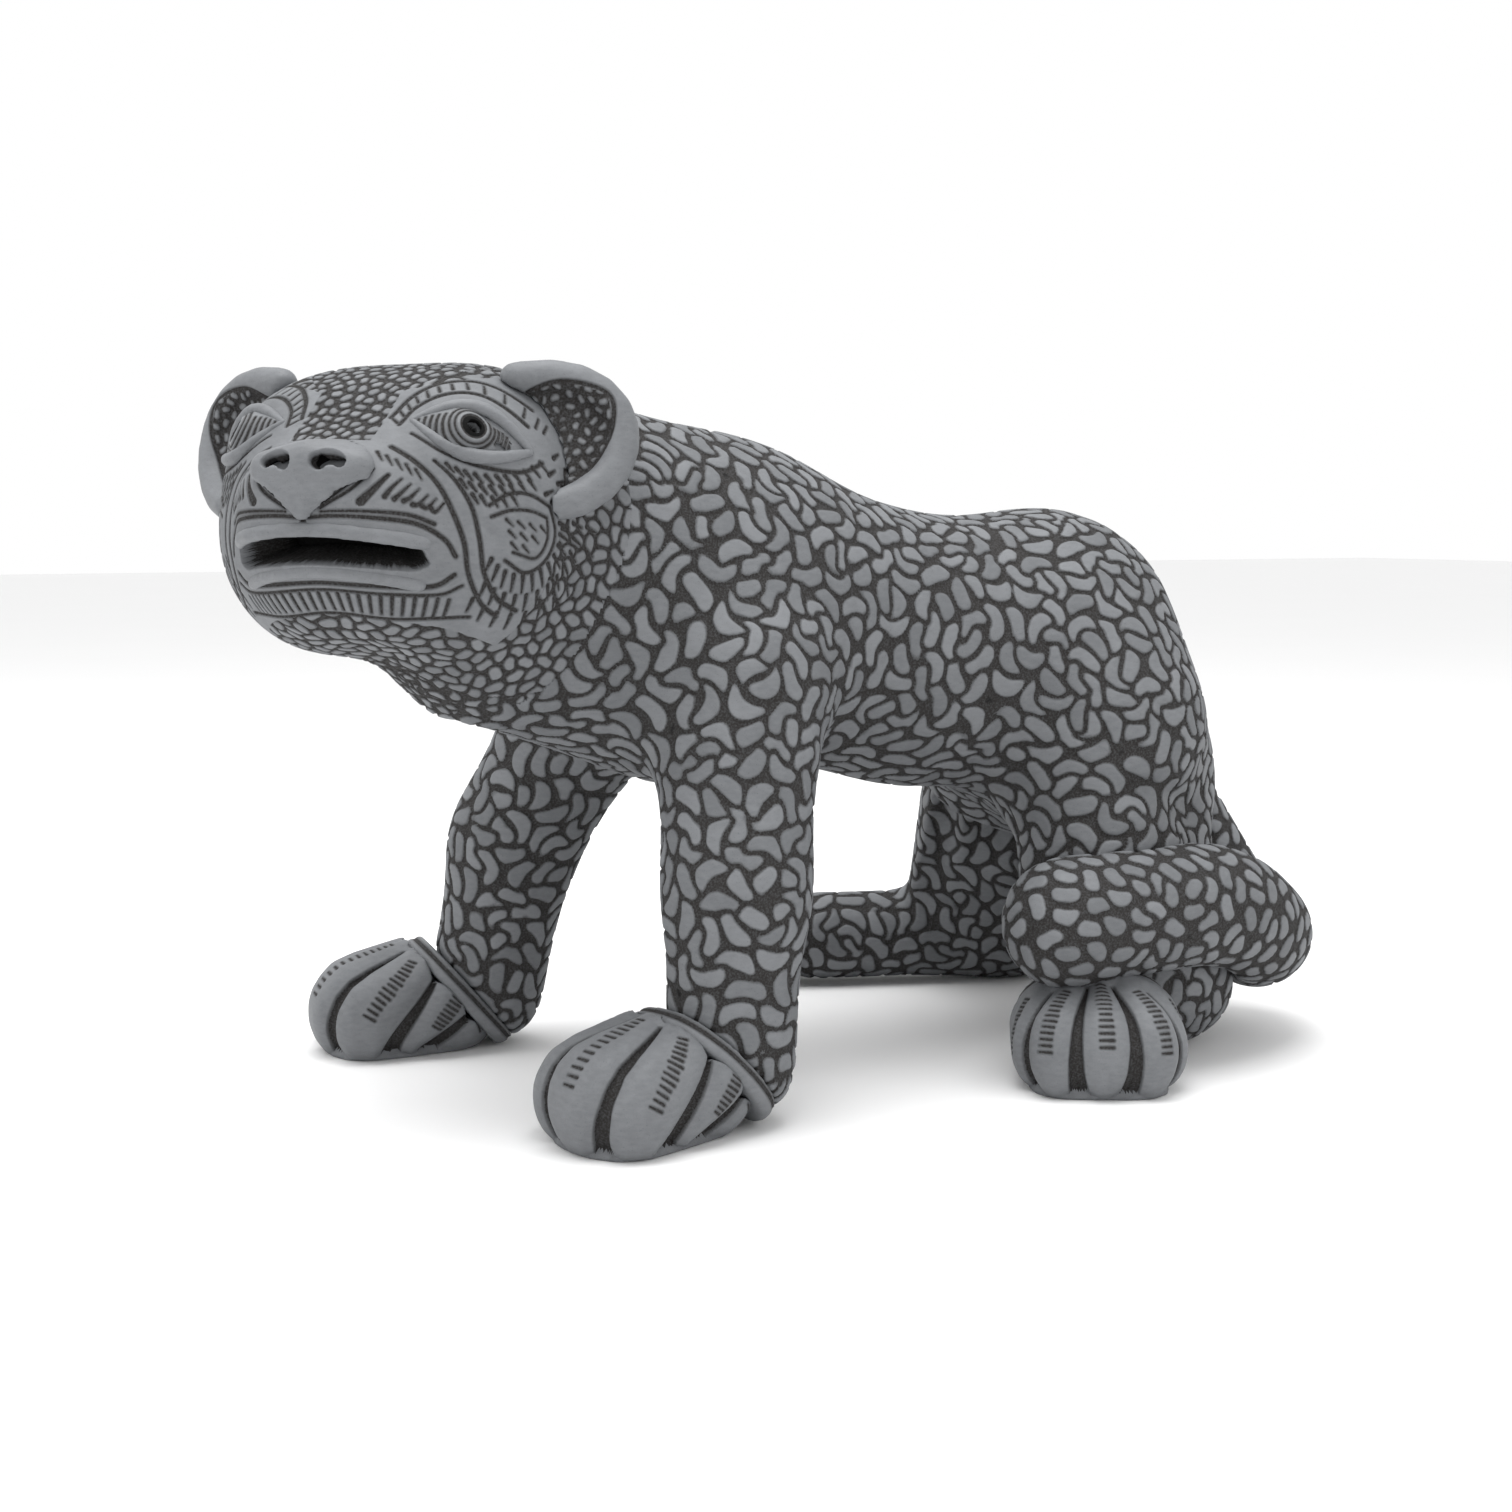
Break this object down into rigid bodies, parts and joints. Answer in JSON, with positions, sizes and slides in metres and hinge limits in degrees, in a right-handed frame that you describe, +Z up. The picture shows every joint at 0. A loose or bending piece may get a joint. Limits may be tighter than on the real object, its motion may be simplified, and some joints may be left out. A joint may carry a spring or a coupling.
{
  "type": "ceramic big cat figure",
  "caption": "Free-standing hollow fired-clay big cat figure, crouched, head turned left with an open mouth, scratched bean pattern, tail over one hind foot.",
  "frame": {"origin": "on the ground, under the middle of the figure's box", "axes": "+Z up, -Y towards the head, +X the animal's left"},
  "size_m": [0.1602, 0.2439, 0.1441],
  "materials": {
    "beaned_clay": "matt dark clay under raised bean-shaped patches of grey slip",
    "carved_slip": "matt grey slip with fine scratched lines and small scales",
    "smooth_slip": "smooth burnished grey slip",
    "eye_slip": "burnished grey slip with scratched rings",
    "paw_slip": "matt grey slip with deep scratched toe grooves"
  },
  "bodies": {
    "root": {"torso_shell": "beaned_clay", "head_shell": "carved_slip", "lower_jaw": "carved_slip", "upper_lip": "smooth_slip", "lower_lip": "smooth_slip", "nose_pad": "smooth_slip", "left_ear": "smooth_slip", "right_ear": "smooth_slip", "left_eyeball": "eye_slip", "right_eyeball": "eye_slip", "left_upper_eyelid": "smooth_slip", "left_lower_eyelid": "smooth_slip", "right_upper_eyelid": "smooth_slip", "right_lower_eyelid": "smooth_slip", "front_left_leg": "beaned_clay", "front_right_leg": "beaned_clay", "hind_left_leg": "beaned_clay", "hind_right_leg": "beaned_clay", "front_left_paw": "paw_slip", "front_right_paw": "paw_slip", "hind_left_paw": "paw_slip", "hind_right_paw": "paw_slip", "front_left_cuff": "smooth_slip", "front_right_cuff": "smooth_slip", "hind_left_cuff": "smooth_slip", "hind_right_cuff": "smooth_slip", "tail": "beaned_clay"}
  },
  "joints": []
}
